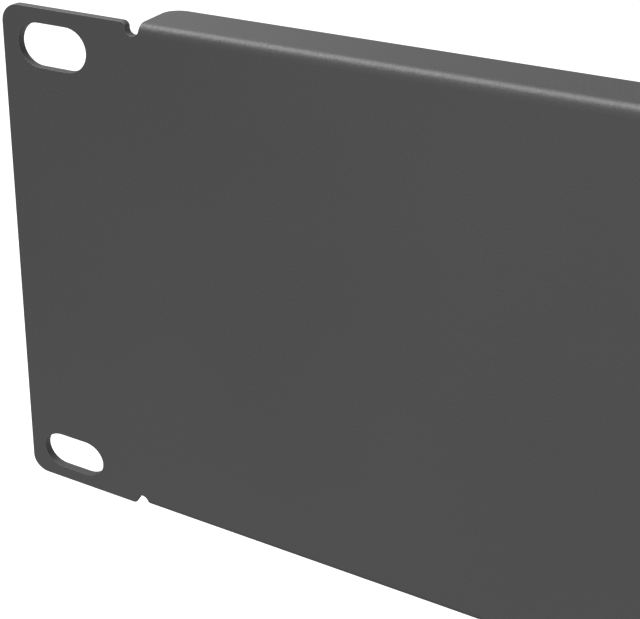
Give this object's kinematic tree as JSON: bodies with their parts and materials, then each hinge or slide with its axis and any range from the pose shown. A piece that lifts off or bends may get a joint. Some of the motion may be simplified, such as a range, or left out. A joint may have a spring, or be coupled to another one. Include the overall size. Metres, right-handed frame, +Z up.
{
  "type": "rack blanking panel",
  "caption": "Folded sheet-steel panel that closes an empty bay of a 19-inch rack, with slotted ears and shallow flanges along its top and bottom.",
  "frame": {"origin": "centre of the slot pattern, in the plane of the ears' rear faces, which seat against the rack posts", "axes": "+X along the panel to its right end seen from the front, +Y from the front into the rack, +Z up"},
  "size_m": [0.483, 0.01, 0.0882],
  "materials": {
    "powder_coat": "satin, fine-grained dark grey powder coat"
  },
  "bodies": {
    "root": {"blanking_panel": "powder_coat"}
  },
  "joints": []
}
